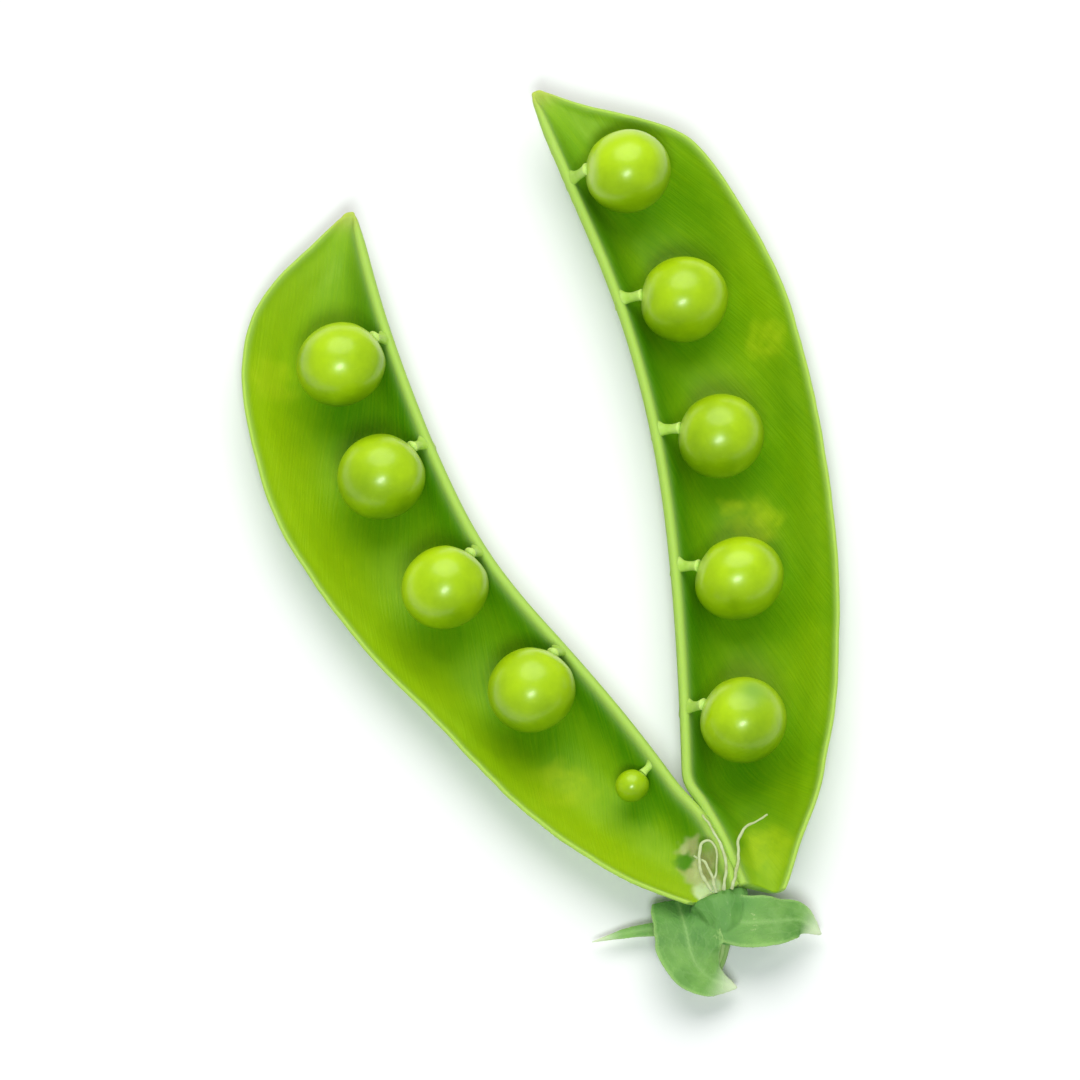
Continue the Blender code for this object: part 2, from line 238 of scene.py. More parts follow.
def remap(tree, value, toLow, toHigh, low=0.0, high=1.0):
    inputs = {"Value": value, "From Min": low, "From Max": high, "To Min": toLow, "To Max": toHigh}
    return addNode(tree, "MapRange", inputs, interpolation_type="SMOOTHSTEP").outputs["Result"]


def readMask(tree, name, output="Fac"):
    return addNode(tree, "Attribute", attribute_name=name, attribute_type="GEOMETRY").outputs[output]


def readNoise(tree, dimensions="3D", **inputs):
    return addNode(tree, "TexNoise", inputs, noise_dimensions=dimensions).outputs["Fac"]


def spreadOut(tree):
    # puts each node one column right of the nodes that feed it
    depth = {n.name: 0 for n in tree.nodes}
    for _ in range(len(tree.nodes)):
        for wire in tree.links:
            depth[wire.to_node.name] = max(depth[wire.to_node.name], depth[wire.from_node.name] + 1)
    rows = {}
    for n in tree.nodes:
        column = depth[n.name]
        rows[column] = rows.get(column, 0) + 1
        n.location = (column * 220, -rows[column] * 190)


def newGroup(name, **inputs):
    # a group with number inputs, named with their starting values, and one output, Mask
    group = bpy.data.node_groups.new(name, "ShaderNodeTree")
    for socketName, start in inputs.items():
        words = socketName.replace("_", " ")
        socket = group.interface.new_socket(words, in_out="INPUT", socket_type="NodeSocketFloat")
        socket.default_value = start
    group.interface.new_socket("Mask", in_out="OUTPUT", socket_type="NodeSocketFloat")
    return group, group.nodes.new("NodeGroupInput").outputs


def endGroup(tree, mask):
    tree.links.new(mask, tree.nodes.new("NodeGroupOutput").inputs["Mask"])
    spreadOut(tree)
    return tree


def useMask(tree, group, **inputs):
    named = {name.replace("_", " "): value for name, value in inputs.items()}
    return addNode(tree, "Group", named, node_tree=group).outputs["Mask"]


def newMaterial(name, **fixed):
    made = bpy.data.materials.new(name)
    made.use_nodes = True
    shader = made.node_tree.nodes["Principled BSDF"]
    for socketName, value in fixed.items():
        shader.inputs[socketName.replace("_", " ")].default_value = value
    return made, made.node_tree


def endFinish(finish, skin, roughness, height=None, strength=0.0, depth=0.0):
    # colour, roughness and relief; the relief is a height from 0 to 1, with its depth in metres
    tree = finish.node_tree
    shader = tree.nodes["Principled BSDF"].inputs
    tree.links.new(skin, shader["Base Color"])
    tree.links.new(roughness, shader["Roughness"])
    if height is not None:
        bump = addNode(tree, "Bump", {"Strength": strength, "Distance": depth, "Height": height})
        tree.links.new(bump.outputs[0], shader["Normal"])
    spreadOut(tree)
    return finish


def colours(**shades):
    # colours as a screen shows them, 0 to 255, turned into Blender's linear ones
    def linear(share):
        return share / 12.92 if share <= 0.04045 else ((share + 0.055) / 1.055) ** 2.4

    return {name: (*(linear(part / 255) for part in shade), 1) for name, shade in shades.items()}


# Node groups: each effect that more than one finish uses

def makeMottleGroup():
    # cloudy patches, the same on any piece
    tree, given = newGroup("mottle", Patch_Size=0.006, Contrast=1.0, Shift=0.0)
    place = addNode(tree, "TexCoord").outputs["Object"]
    scale = maths(tree, "DIVIDE", 1.0, given["Patch Size"])
    cloud = readNoise(tree, "4D", Vector=place, W=given["Shift"], Scale=scale, Detail=4.0, Roughness=0.55)
    centred = maths(tree, "MULTIPLY", maths(tree, "SUBTRACT", cloud, 0.5), given["Contrast"])
    wide = maths(tree, "MULTIPLY", centred, 3.0)
    lifted = addNode(tree, "Math", {0: wide, 1: 0.5}, operation="ADD", use_clamp=True).outputs[0]
    return endGroup(tree, lifted)


def makeFibreGroup():
    # fine strands that follow the piece's own lie, which the mesh gives in mm as the mask "lie"
    tree, given = newGroup("fibres", Length=6.0, Width=0.25, Slant=0.0)
    parts = addNode(tree, "SeparateXYZ", {0: readMask(tree, "lie", "Vector")}).outputs
    slanted = maths(tree, "ADD", parts["Y"], maths(tree, "MULTIPLY", parts["X"], given["Slant"]))
    spot = stretched(tree, parts["X"], given["Length"], slanted, given["Width"], parts["Z"])
    strands = readNoise(tree, Vector=spot, Scale=1.0, Detail=3.0, Roughness=0.6, Distortion=0.4)
    return endGroup(tree, remap(tree, strands, 0.0, 1.0, 0.3, 0.7))


def makeVeinGroup():
    # a net of veins over the piece's own lie, 1 on a vein
    tree, given = newGroup("vein net", Mesh_Length=3.0, Mesh_Width=1.5, Vein=0.09, Slant=0.5)
    lie = readMask(tree, "lie", "Vector")
    bend = addNode(tree, "TexNoise", {"Vector": lie, "Scale": 0.35, "Detail": 2.0}).outputs["Color"]
    moved = addNode(tree, "VectorMath", {0: bend, 1: (1.6, 1.6, 0.0)}, operation="MULTIPLY").outputs[0]
    bent = addNode(tree, "VectorMath", {0: lie, 1: moved}, operation="ADD").outputs[0]
    parts = addNode(tree, "SeparateXYZ", {0: bent}).outputs
    slanted = maths(tree, "ADD", parts["X"], maths(tree, "MULTIPLY", parts["Y"], given["Slant"]))
    spot = stretched(tree, slanted, given["Mesh Length"], parts["Y"], given["Mesh Width"], parts["Z"])
    cells = addNode(tree, "TexVoronoi", {"Vector": spot, "Scale": 1.0}, feature="DISTANCE_TO_EDGE")
    return endGroup(tree, remap(tree, cells.outputs["Distance"], 1.0, 0.0, 0.0, given["Vein"]))


def makeSpeckGroup():
    # scattered small round specks, 1 in a speck
    tree, given = newGroup("specks", Spacing=0.002, Share=0.4, Radius=0.25)
    place = addNode(tree, "TexCoord").outputs["Object"]
    scale = maths(tree, "DIVIDE", 1.0, given["Spacing"])
    cells = addNode(tree, "TexVoronoi", {"Vector": place, "Scale": scale}, feature="F1")
    dot = remap(tree, cells.outputs["Distance"], 1.0, 0.0, 0.0, given["Radius"])
    draw = addNode(tree, "SeparateColor", {0: cells.outputs["Color"]}).outputs[0]
    chosen = maths(tree, "LESS_THAN", draw, given["Share"])
    return endGroup(tree, maths(tree, "MULTIPLY", dot, chosen))


def makeScarGroup():
    # pale corky scars, drawn out along the piece
    tree, given = newGroup("scars", Length=7.0, Width=1.6, Threshold=0.64)
    parts = addNode(tree, "SeparateXYZ", {0: readMask(tree, "lie", "Vector")}).outputs
    moved = maths(tree, "ADD", parts["Z"], 7.7)
    spot = stretched(tree, parts["X"], given["Length"], parts["Y"], given["Width"], moved)
    patches = readNoise(tree, Vector=spot, Scale=1.0, Detail=5.0, Roughness=0.7, Distortion=0.6)
    high = maths(tree, "ADD", given["Threshold"], 0.07)
    return endGroup(tree, remap(tree, patches, 0.0, 1.0, given["Threshold"], high))


mottle = makeMottleGroup()
fibres = makeFibreGroup()
veinNet = makeVeinGroup()
specks = makeSpeckGroup()
scars = makeScarGroup()
print("node groups made")


# Finishes

# the back slope's colour below is painted light, where the inside faces the top lamp
podWallLook = colours(
    deepInside=(84, 142, 2), brightInside=(126, 170, 5), seamStrip=(50, 130, 4), dorsal=(164, 198, 10),
    bed=(60, 146, 4), tipInside=(138, 184, 42), baseInside=(146, 184, 30), blotch=(168, 196, 22),
    cord=(146, 190, 104), underCord=(96, 152, 44), rim=(172, 206, 92), skin=(112, 166, 58),
    skinPale=(158, 200, 100), scar=(196, 220, 150), tornBrown=(152, 150, 88), tornPale=(186, 204, 134),
    tornHole=(72, 130, 16), cream=(200, 222, 160), tipDry=(176, 188, 84))


def makePodWallFinish(look=podWallLook):
    finish, tree = newMaterial(
        "podWallFinish", Subsurface_Weight=0.3, Subsurface_Scale=0.001, Subsurface_Radius=(0.9, 1.0, 0.1),
        Specular_IOR_Level=0.3, Specular_Tint=(0.82, 1.0, 0.3, 1.0))
    broad = useMask(tree, mottle, Patch_Size=0.011, Shift=1.3)
    small = useMask(tree, mottle, Patch_Size=0.0016, Contrast=0.7, Shift=4.1)
    strand = useMask(tree, fibres, Length=7.0, Width=0.22, Slant=0.55)
    vein = useMask(tree, veinNet, Mesh_Length=5.0, Mesh_Width=2.2, Vein=0.1, Slant=0.9)
    scar = useMask(tree, scars, Length=6.0, Width=1.5, Threshold=0.63)
    dot = useMask(tree, specks, Spacing=0.0017, Share=0.35, Radius=0.16)

    inside = mixColour(tree, broad, look["deepInside"], look["brightInside"])
    # painted light on the back slope, painted shade beside the seam and below each pea
    inside = layered(tree, inside, look, ("dorsal", 0.75, "dorsal"), ("seamStrip", 0.7, "seamStrip"),
                     ("bed", 0.6, "bed"), ("tipEnd", 0.8, "tipInside"), ("stalkEnd", 0.7, "baseInside"),
                     ("blotch", small, "blotch"), (strand, 0.16, "dorsal"), (small, 0.14, "deepInside"),
                     ("cord", 0.7, "cord"))

    outside = mixColour(tree, broad, look["skin"], look["skinPale"])
    # painted shade on the outside just below the seam cord
    outside = layered(tree, outside, look, ("cord", 0.8, "underCord"), (vein, 0.3, "skinPale"),
                      (dot, 0.35, "skinPale"), (scar, 0.75, "scar"))

    inner = readMask(tree, "inner")
    wall = mixColour(tree, inner, outside, inside)
    wall = layered(tree, wall, look, ("rim", 0.85, "rim"), ("tipDry", 0.7, "tipDry"))
    torn = readMask(tree, "torn")
    wall = mixColour(tree, torn, wall, mixColour(tree, small, look["tornBrown"], look["tornPale"]))
    wall = layered(tree, wall, look, ("cream", 1.0, "cream"), ("tornHole", 1.0, "tornHole"))

    waxy, satin = remap(tree, broad, 0.44, 0.58), remap(tree, small, 0.36, 0.46)
    rough = addUp(tree, mixValue(tree, inner, waxy, satin), 1.0, torn, 0.3)
    relief = mixValue(tree, inner, addUp(tree, vein, 0.8, scar, 0.8), addUp(tree, strand, 0.35, small, 0.5))
    return endFinish(finish, wall, rough, relief, strength=0.35, depth=0.00012)


peaLook = colours(
    deep=(100, 144, 1), bright=(184, 220, 10), pale=(204, 234, 70), dull=(120, 172, 62),
    seedScar=(190, 220, 90))


def makePeaFinish(look=peaLook):
    finish, tree = newMaterial(
        "peaFinish", Subsurface_Weight=0.3, Subsurface_Scale=0.0014, Subsurface_Radius=(1.0, 1.0, 0.1),
        Specular_IOR_Level=0.5, Specular_Tint=(0.9, 1.0, 0.8, 1.0), Coat_Weight=0.12, Coat_Roughness=0.14)
    broad = useMask(tree, mottle, Patch_Size=0.005, Contrast=0.8, Shift=2.2)
    small = useMask(tree, mottle, Patch_Size=0.0007, Contrast=0.6, Shift=8.4)
    dot = useMask(tree, specks, Spacing=0.0006, Share=0.5, Radius=0.3)
    # the tone mask holds each pea's own tone plus painted light, paler towards the top lamp
    tone = addUp(tree, broad, 0.55, readMask(tree, "tone"), 1.0)
    skin = mixColour(tree, tone, look["deep"], look["bright"])
    skin = layered(tree, skin, look, (dot, 0.1, "pale"), ("seedScar", 0.7, "seedScar"))
    dull = readMask(tree, "dull")
    skin = layered(tree, skin, look, (dull, 0.75, "dull"))
    rough = addUp(tree, remap(tree, small, 0.28, 0.34), 1.0, dull, 0.25)
    return endFinish(finish, skin, rough, small, strength=0.12, depth=0.00006)


funicleLook = colours(stalk=(166, 208, 70), pale=(196, 228, 120))


def makeFunicleFinish(look=funicleLook):
    finish, tree = newMaterial(
        "funicleFinish", Subsurface_Weight=0.4, Subsurface_Scale=0.0008, Subsurface_Radius=(1.0, 1.0, 0.4),
        Specular_IOR_Level=0.4)
    strand = useMask(tree, fibres, Length=2.0, Width=0.12)
    small = useMask(tree, mottle, Patch_Size=0.0006, Contrast=0.8, Shift=5.0)
    skin = layered(tree, look["stalk"], look, (small, 0.5, "pale"), ("flare", 0.6, "pale"))
    rough = remap(tree, small, 0.38, 0.5)
    return endFinish(finish, skin, rough, strand, strength=0.3, depth=0.00006)


leafTissue = {
    "Subsurface_Weight": 0.2, "Subsurface_Scale": 0.0008, "Subsurface_Radius": (0.6, 1.0, 0.3),
    "Specular_IOR_Level": 0.35,
}
calyxLook = colours(
    deep=(88, 141, 57), leaf=(126, 174, 84), vein=(144, 187, 106), shade=(74, 138, 62),
    margin=(156, 194, 112), tip=(226, 236, 202), scar=(172, 198, 128))


def makeCalyxFinish(look=calyxLook):
    finish, tree = newMaterial("calyxFinish", **leafTissue)
    broad = useMask(tree, mottle, Patch_Size=0.003, Shift=6.3)
    small = useMask(tree, mottle, Patch_Size=0.0005, Contrast=0.7, Shift=3.3)
    vein = useMask(tree, veinNet, Mesh_Length=1.5, Mesh_Width=0.7, Vein=0.12, Slant=0.8)
    scar = useMask(tree, scars, Length=1.4, Width=0.7, Threshold=0.66)
    leaf = mixColour(tree, broad, look["deep"], look["leaf"])
    leaf = layered(tree, leaf, look, (vein, 0.22, "vein"), ("shade", 0.6, "shade"), ("midrib", 0.6, "vein"),
                   ("margin", 0.7, "margin"), (scar, 0.6, "scar"), ("tipEnd", 0.8, "tip"))
    rough = remap(tree, broad, 0.5, 0.64)
    return endFinish(finish, leaf, rough, addUp(tree, vein, 0.7, small, 0.5), strength=0.4, depth=0.0001)


stalkLook = colours(green=(120, 162, 76), pale=(172, 200, 128), cut=(204, 212, 160))


def makeStalkFinish(look=stalkLook):
    finish, tree = newMaterial("stalkFinish", **leafTissue)
    strand = useMask(tree, fibres, Length=3.5, Width=0.16)
    broad = useMask(tree, mottle, Patch_Size=0.002, Shift=9.1)
    scar = useMask(tree, scars, Length=2.0, Width=0.6, Threshold=0.66)
    skin = mixColour(tree, strand, look["green"], look["pale"])
    skin = layered(tree, skin, look, (broad, 0.4, "green"), (scar, 0.5, "cut"), ("cut", 1.0, "cut"))
    rough = remap(tree, broad, 0.5, 0.66)
    return endFinish(finish, skin, rough, strand, strength=0.5, depth=0.0001)


threadLook = colours(straw=(204, 218, 166), brown=(176, 186, 122))


def makeThreadFinish(look=threadLook):
    finish, tree = newMaterial("threadFinish", Specular_IOR_Level=0.3)
    small = useMask(tree, mottle, Patch_Size=0.0009, Contrast=1.2, Shift=7.7)
    strand = useMask(tree, fibres, Length=1.2, Width=0.08)
    dry = mixColour(tree, small, look["straw"], look["brown"])
    dry = layered(tree, dry, look, (strand, 0.3, "straw"))
    rough = remap(tree, small, 0.6, 0.8)
    return endFinish(finish, dry, rough, strand, strength=0.5, depth=0.00005)


podWallFinish = makePodWallFinish()
peaFinish = makePeaFinish()
funicleFinish = makeFunicleFinish()
calyxFinish = makeCalyxFinish()
stalkFinish = makeStalkFinish()
threadFinish = makeThreadFinish()
print("finishes made")


# The two valves, in mm from the point where they meet the calyx

pod = {
    "gap": 0.3,  # the valves' cut ends stand this far ahead of the calyx
    "rimHeight": 5.6, "press": 0.15, "tipWidth": 0.8,  # press: how far the table flattens the bottom
    "wall": 1.0, "backRim": 0.42,  # thickness in the middle and at the back edge
    "cord": 1.0, "cordReach": 1.0,  # thickness of the seam cord, and how fast it fades into the wall
    "thinReach": 1.6,  # how far from the back edge the wall is thinner
    "seamStart": 1.5,  # where the seams leave the calyx, towards the right valve
    "joined": ((0, 0), (5, 4), (11, 22)),  # and their common heading from there, by length, in degrees
    "forkStart": 10.0, "forkLength": 3.5, "backEase": 26.0,  # where the seams part and the rows turn square
    "deepest": 0.42, "seamSide": 3.0, "backSide": 2.3, "hollowEarly": 0.3,  # the hollow's cross-section
    "seat": 0.2, "seatReach": 3.4, "fullPea": 4.45,  # the dent under a pea of full size
    "cadCord": 1.4, "cadCordReach": 1.1,  # the plain solid's seam edge, whose outer face this one shares
    "closing": 0.2,  # how far each seam leans over to the other below the fork
    "leanFrom": 3.0, "leanEase": 4.0, "leanReach": 1.3,  # how that fades before the fork and from the seam
    "cornerLength": 2.4, "cornerWay": (0.42, 1.0, 0.3), "cornerFrom": 0.1,  # the corner by the sepal
    "slender": ((0, 0.55), (0.8, 0.6), (4, 0.95), (6, 1), (99, 1)),  # share of the wall by the width
    "beak": ((0.85, 0.2), (0.55, 0.38), (0.2, 0.45)),  # size and place of the rings that close the tip
    "beakRows": 6, "arcPoints": 401,  # rows that give the beak its direction, points of the seam's line
    "edgeShift": (0.8, 0.8, 0.9),  # a thinner wall moves out at its edges: share, reach down, reach out
    "rows": 360, "columns": 60, "rimSteps": 7, "softening": 90,  # points of the mesh, rounds of smoothing
    "rowsCloser": 0.4, "columnsCloser": 0.5,
    "rimWave": 0.07, "waveReach": (3.0, 2.0), "edgeNicks": 0.07, "nickReach": 1.5,
    "waves": (7.0, 0.5, 2.6), "nicks": (3.4, 0.6, 1.3),  # coarse size, then share and size of fine ones
    "slimWidth": 6.0,  # where the pod is narrower than this, all of these fade
    "dimples": 0.05, "dimpleSize": 2.2, "dimpleEdge": 1.0,
    "veinRelief": 0.05, "veinSize": 1.1, "veinStretch": (1.0, 0.45, 1.0), "veinSharp": 2.2,
}
marks = {  # how far each colour reaches, in mm; the painted light on the back (dorsal) slope and the painted shade under the peas by share
    "rim": 0.55, "seamFade": 1.7, "backFade": 1.6,  # how much faster the rim's colour fades by each edge
    "innerTurn": 60,  # the inside's look fades into the outside's over this many degrees each way
    # painted shade: the strip beside the seam and the patch below each pea
    "cord": 0.62, "seamStripAt": 1.6, "seamStrip": 1.9, "bed": 1.25, "paintedPeaShadeDrop": 1.2, "lieShift": 3.0,
    "dorsalFrom": 0.42, "dorsalEase": 0.4, "tipEnd": 9.0, "stalkEnd": 5.0, "tipDry": 1.3,
    "spots": ("blotch", "torn", "tornHole", "cream"),  # places and sizes of these are in valveForms
    "ragged": 0.45, "raggedSize": 0.7, "spotEdge": 1.6,
}
valveForms = {
    "right": {
        # the strength of the painted light on the inside's back slope differs for each valve
        "side": 1, "seam": 86.7, "droop": 0.03, "seamLift": -0.35, "backPaintedLight": 0.12, "cornerReach": 1.7,
        "headings": ((0, 20.6), (0.4, 15.3), (0.62, 7.0), (0.85, -1.6), (1, -1.0)),
        "outline": (
            (0, 3.5), (0.04, 6.8), (0.09, 10.2), (0.135, 12.8), (0.18, 13.7), (0.28, 14.6), (0.41, 15.3),
            (0.67, 15.4), (0.81, 13.9), (0.885, 12.4), (0.935, 7.7), (0.965, 3.9), (1, 0.8)),
        "peas": ("pea_right_1", "pea_right_2", "pea_right_3", "pea_right_4", "pea_right_5"),
        "blotch": ((15.3, 39.0, 1.3), (17.5, 36.7, 2.0), (24.3, 54.1, 1.6), (5.6, 3.4, 2.2)),
    },
    "left": {
        "side": -1, "seam": 81.0, "droop": 0.05, "seamLift": 0.05, "backPaintedLight": 0.82, "cornerReach": 0.0,
        "headings": ((0, 8.0), (0.26, 16.8), (0.4, 19.8), (0.62, 3.7), (0.85, -3.3), (1, -9.0)),
        "outline": (
            (0, 4.0), (0.04, 7.4), (0.09, 10.2), (0.18, 12.1), (0.28, 13.2), (0.41, 13.6), (0.55, 14.9),
            (0.67, 16.0), (0.81, 14.8), (0.885, 12.6), (0.935, 8.9), (0.965, 4.7), (1, 0.8)),
        "peas": ("pea_left_small", "pea_left_1", "pea_left_2", "pea_left_3", "pea_left_4"),
        "blotch": ((-22.8, 67.2, 2.0), (-10.8, 17.2, 2.4)),
        "torn": ((-1.3, 3.9, 1.5), (-1.2, 2.0, 1.2), (-1.4, 6.2, 0.9)), "tornHole": ((-2.3, 5.2, 0.8),),
        "cream": ((-2.0, 1.1, 0.9), (-0.9, 1.1, 0.8)),
    },
}


def valveLines(form):
    # the pea-bearing edge and the back edge of one valve, seen from above
    arc = np.linspace(0, form["seam"], pod["arcPoints"])
    own = np.radians(smoothThrough(form["headings"], arc / form["seam"]))
    joined = pod["joined"]
    together = -form["side"] * np.radians(smoothThrough(joined, np.minimum(arc, joined[-1][0])))
    heading = together + (own - together) * ease((arc - pod["forkStart"]) / pod["forkLength"])
    square = own * ease(arc / pod["backEase"])
    step = form["seam"] / (len(arc) - 1)
    middle = (heading[1:] + heading[:-1]) / 2
    start = form["side"] * pod["seamStart"] + pod["gap"] / 2 + pod["cadCord"] / 2
    out = start + np.r_[0, np.cumsum(np.sin(middle)) * step]
    edge = np.c_[form["side"] * out, pod["gap"] + np.r_[0, np.cumsum(np.cos(middle)) * step]]
    across = np.c_[form["side"] * np.cos(square), -np.sin(square)]
    width = smoothThrough(form["outline"], arc / form["seam"])
    return {"arc": arc, "edge": edge, "back": edge + across * width[:, None], "widest": width.max()}


# where the valves meet the calyx, found from the plain left valve's seam edge and the right one's cut end
leftHigh, rightLow = asMm(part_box("valve_left")[1]), asMm(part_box("valve_right")[0])
leftReach = valveLines(valveForms["left"])["edge"][:, 0].max() + pod["cadCord"] / 2
joinPoint = np.array([leftHigh[0] - leftReach, rightLow[1] - pod["gap"], 0.0])


def peaOf(nodeName):
    # middle and half sizes of a pea, from the point where the valves meet the calyx
    low, high = (asMm(c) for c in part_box(nodeName))
    return (low + high) / 2 - joinPoint, (high - low) / 2


def valveSheet(form):
    # the middle of the wall as a grid, from the seam to the back edge in each row
    lines = valveLines(form)
    share = closerAtEnds(pod["rows"], pod["rowsCloser"])
    run = runAlong(lines["back"])
    start = np.array([np.interp(share, lines["arc"] / form["seam"], line) for line in lines["edge"].T]).T
    end = np.array([np.interp(share, run / run[-1], line) for line in lines["back"].T]).T
    for _ in range(pod["softening"]):
        end[1:-1] = (end[:-2] + 2 * end[1:-1] + end[2:]) / 4
    v = closerAtEnds(pod["columns"], pod["columnsCloser"])
    plan = start[:, None] + (end - start)[:, None] * v[None, :, None]
    width = np.linalg.norm(end - start, axis=1)[:, None]
    deepest = pod["deepest"]
    near = np.clip((deepest - v) / deepest, 0, 1)
    far = np.clip((v - deepest) / (1 - deepest), 0, 1)
    hollow = ((width - pod["tipWidth"]) / (lines["widest"] - pod["tipWidth"])).clip(0, 1)
    hollow = hollow * (1 + pod["hollowEarly"] * (1 - hollow))
    depth = pod["rimHeight"] + pod["press"] - pod["wall"] / 2 - form["droop"] * deepest * lines["widest"]
    drop = depth * hollow * (1 - near ** pod["seamSide"] - far ** pod["backSide"])
    for name in form["peas"]:
        middle, half = peaOf(name)
        away = np.linalg.norm(plan - middle[:2], axis=2)
        size = half.mean() / pod["fullPea"]
        drop = drop + pod["seat"] * size ** 2 * bell(away, pod["seatReach"])
    height = pod["rimHeight"] - drop - form["droop"] * width * v
    return np.dstack([plan, height]), share * form["seam"], width[:, 0]


def spotMask(places, spots):
    # 1 inside each ragged spot, given by its x and y and its reach in mm
    mask = np.zeros(places.shape[:-1])
    for x, y, reach in spots:
        ragged = wander(places * (1, 1, 0), reach * marks["raggedSize"], x + y)
        ragged = 1 + marks["ragged"] * ragged
        away = np.hypot(places[..., 0] - x, places[..., 1] - y)
        mask = np.maximum(mask, ease(marks["spotEdge"] - away / (reach * ragged)))
    return mask


def makeValve(name):
    form = valveForms[name]
    sheet, arcs, width = valveSheet(form)

    # a live pod is never quite even: wavy rims, a nicked back edge, faint dimples in the wall
    steps = np.linalg.norm(np.diff(sheet, axis=1), axis=2)
    fromSeam = np.hstack([np.zeros((len(sheet), 1)), np.cumsum(steps, axis=1)])
    fromBack = fromSeam[:, -1:] - fromSeam
    slim = np.clip(width / pod["slimWidth"], 0, 1)[:, None]
    lengthwise = np.stack([arcs, np.zeros_like(arcs), np.full_like(arcs, form["side"] * 5.0)], 1)
    wave, nick = ((wander(lengthwise, coarse, seed) + share * wander(lengthwise, fine, seed + 1))[:, None]
                  for seed, (coarse, share, fine) in ((1, pod["waves"]), (3, pod["nicks"])))
    outward = toUnit(sheet[:, -1] - sheet[:, 0])[:, None]
    nick = pod["edgeNicks"] * slim * nick * bell(fromBack, pod["nickReach"])
    sheet = sheet + nick[..., None] * outward
    backReach, seamReach = pod["waveReach"]
    sheet[..., 2] += pod["rimWave"] * slim * wave * (bell(fromBack, backReach) + bell(fromSeam, seamReach))

    # below the fork the two seams are grown together: they lean over to each other, the left one on top
    joined = 1 - ease((arcs - pod["forkStart"] + pod["leanFrom"]) / pod["leanEase"])
    besideSeam = joined[:, None] * bell(fromSeam, pod["leanReach"])
    sheet[..., 0] -= form["side"] * pod["closing"] * besideSeam
    sheet[..., 2] += form["seamLift"] * besideSeam

    # the right valve's back corner reaches down to the sepal before it
    shareAcross = fromSeam / fromSeam[:, -1:]
    corner = form["cornerReach"] * bell(arcs, pod["cornerLength"])[:, None]
    corner = corner * ease(shareAcross * (1 + pod["cornerFrom"]) - pod["cornerFrom"])
    sheet -= corner[..., None] * pod["cornerWay"] * (form["side"], 1, 1)

    # half the wall, thin at the back edge, with the cord along the seam
    slender = smoothThrough(pod["slender"], width)[:, None]
    plain = pod["wall"] + (pod["cadCord"] - pod["wall"]) * bell(fromSeam, pod["cadCordReach"])
    half = pod["wall"] - (pod["wall"] - pod["backRim"]) * bell(fromBack, pod["thinReach"])
    half = half + (pod["cord"] - pod["wall"]) * bell(fromSeam, pod["cordReach"])
    plain, half = plain * slender / 2, half * slender / 2

    # where the wall is thinner than the plain solid's, its outer face stays
    normal = normalsOf(sheet, form["side"])
    spare = (plain - half)[..., None]
    share, downReach, outReach = pod["edgeShift"]
    down = 1 - share * bell(fromBack, downReach) - share * bell(fromSeam, downReach)
    out = bell(fromBack, outReach) - bell(fromSeam, outReach)
    sheet = sheet - normal * spare * down[..., None] + outward * spare * out[..., None]
    along = toUnit(np.gradient(sheet, axis=0))
    normal = normalsOf(sheet, form["side"])
    dimple = pod["dimples"] * slim * wander(sheet, pod["dimpleSize"], 5)
    dimple = dimple * (1 - bell(fromSeam, pod["dimpleEdge"]) - bell(fromBack, pod["dimpleEdge"]))
    upper = sheet + normal * (half + dimple)[..., None]
    ridge = 1 - np.abs(wander(sheet * pod["veinStretch"], pod["veinSize"], 6)) * pod["veinSharp"]
    relief = pod["veinRelief"] * slim * np.clip(ridge, 0, 1) ** 2
    lower = sheet - normal * (half + relief)[..., None]

    def rimRing(edge, inner, angles):
        out = sheet[:, edge] - sheet[:, inner]
        out = toUnit(out - along[:, edge] * (out * along[:, edge]).sum(1, keepdims=True))
        radius = half[:, edge][:, None]
        return [sheet[:, edge] + radius * (math.cos(a) * out + math.sin(a) * normal[:, edge]) for a in angles]

    columns = sheet.shape[1]
    turn = np.linspace(90, -90, pod["rimSteps"] + 2)[1:-1]
    angles = np.radians(turn)
    rings = [upper[:, j] for j in range(columns)] + rimRing(-1, -2, angles)
    rings += [lower[:, j] for j in reversed(range(columns))] + rimRing(0, 1, -angles)
    rings = np.stack(rings, axis=1)

    # masks for the finish, on the same rings
    side = np.clip((turn + marks["innerTurn"]) / (2 * marks["innerTurn"]), 0, 1)
    inner = np.r_[np.ones(columns), side, np.zeros(columns), side[::-1]]
    byColumn = np.r_[np.arange(columns), np.full(len(turn), columns - 1),
                     np.arange(columns)[::-1], np.zeros(len(turn), int)]
    seamAway, backAway, across = fromSeam[:, byColumn], fromBack[:, byColumn], shareAcross[:, byColumn]
    onRim = np.r_[np.zeros(columns), np.cos(angles), np.zeros(columns), np.cos(angles) * side[::-1]]
    even = np.ones_like(seamAway)
    baseAway, tipAway = arcs[:, None] * even, (form["seam"] - arcs)[:, None] * even
